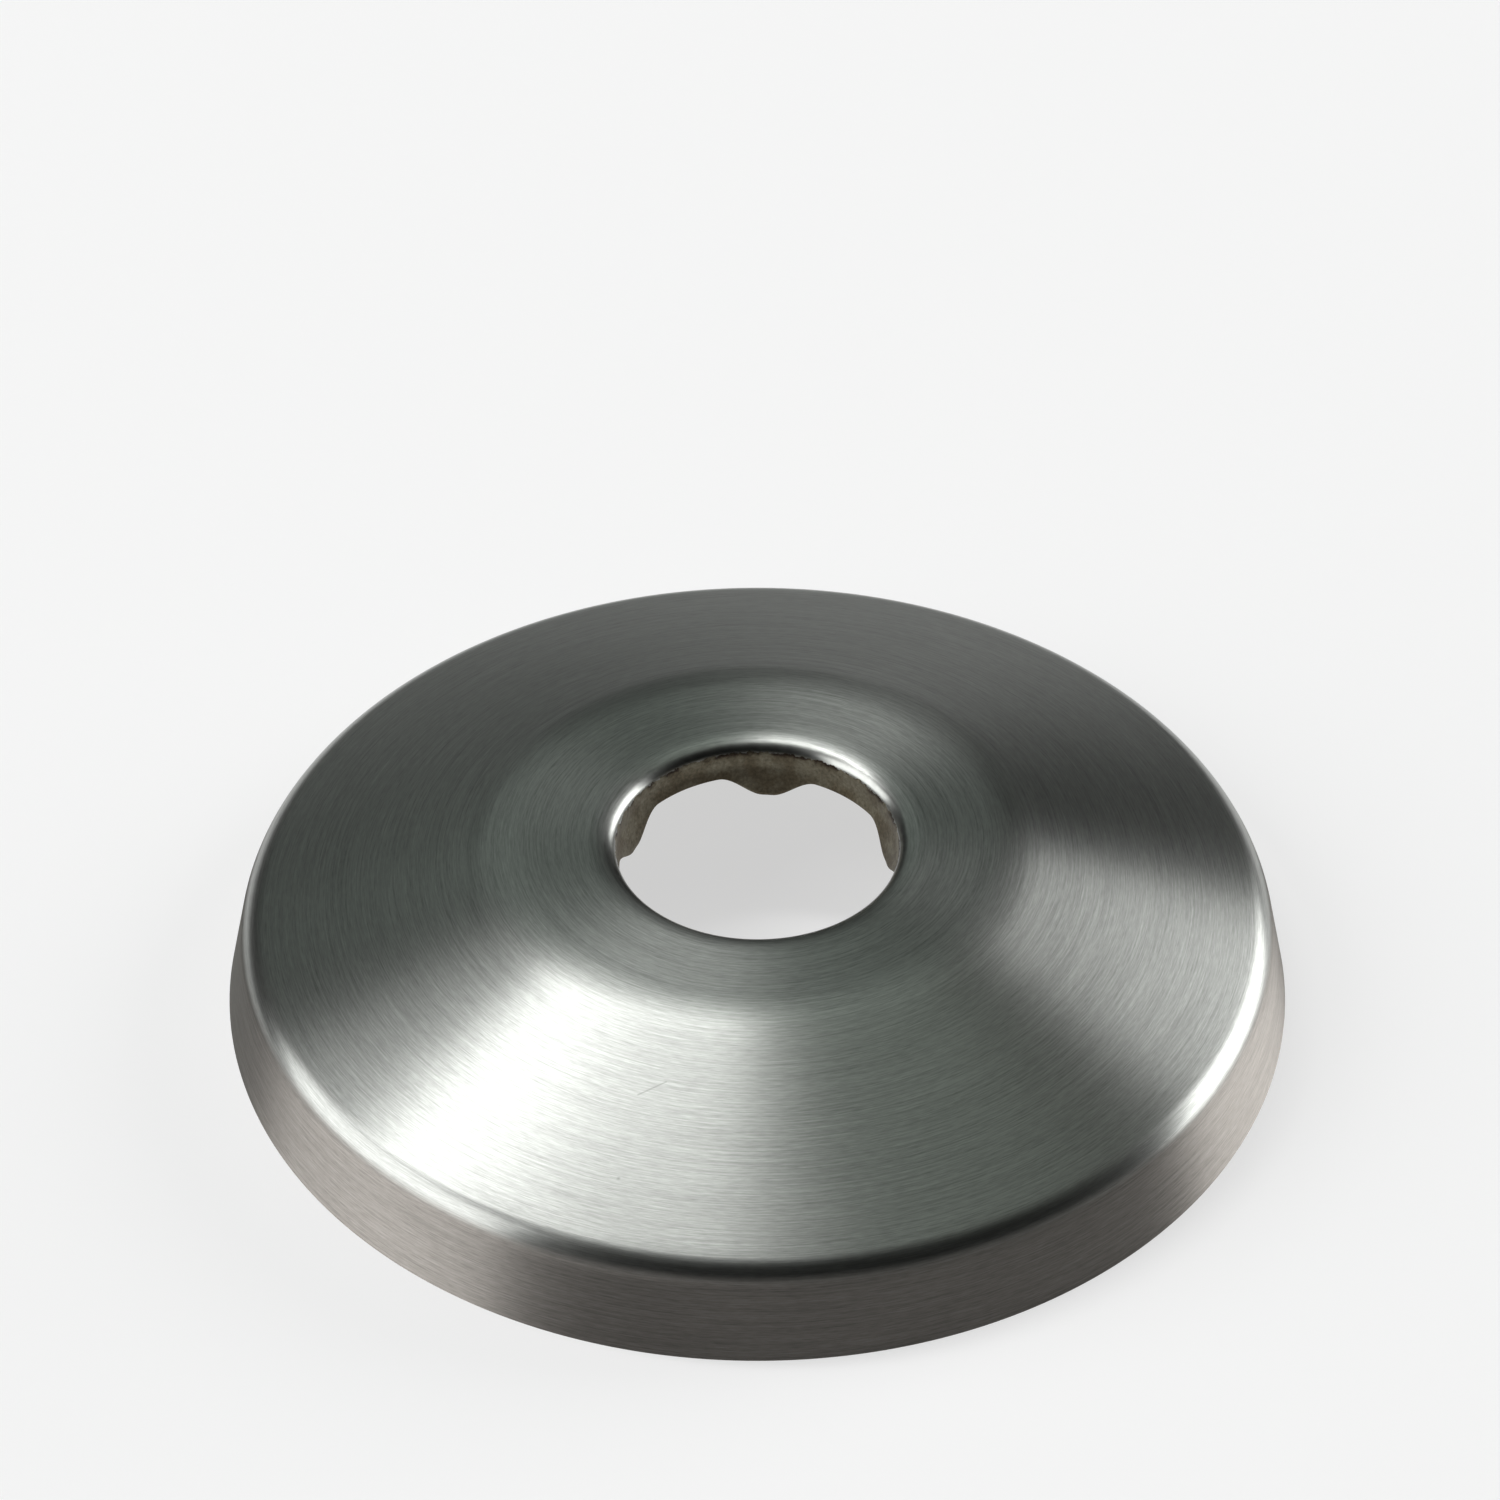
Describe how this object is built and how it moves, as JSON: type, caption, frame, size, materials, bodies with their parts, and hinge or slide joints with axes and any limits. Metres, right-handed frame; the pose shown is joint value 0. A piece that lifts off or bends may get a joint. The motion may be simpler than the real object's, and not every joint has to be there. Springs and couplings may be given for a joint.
{
  "type": "round tap pipe cover plate",
  "caption": "Low round pressed-metal cover plate with a sloping crown, rounded shoulder, flat open underside and a central pipe hole whose turned-in collar ends in spring tabs.",
  "frame": {"origin": "middle of the rim, on the deck or wall that the plate lies on", "axes": "+Z along the pipe's axis, away from the deck; +Y to the back; +X to the right"},
  "size_m": [0.0826, 0.0826, 0.0144],
  "materials": {
    "brushed_nickel": "circular satin brushing over the crown, shoulder and skirt; raw grey-brown metal inside the collar and underneath"
  },
  "bodies": {
    "root": {"escutcheon_plate": "brushed_nickel"}
  },
  "joints": []
}
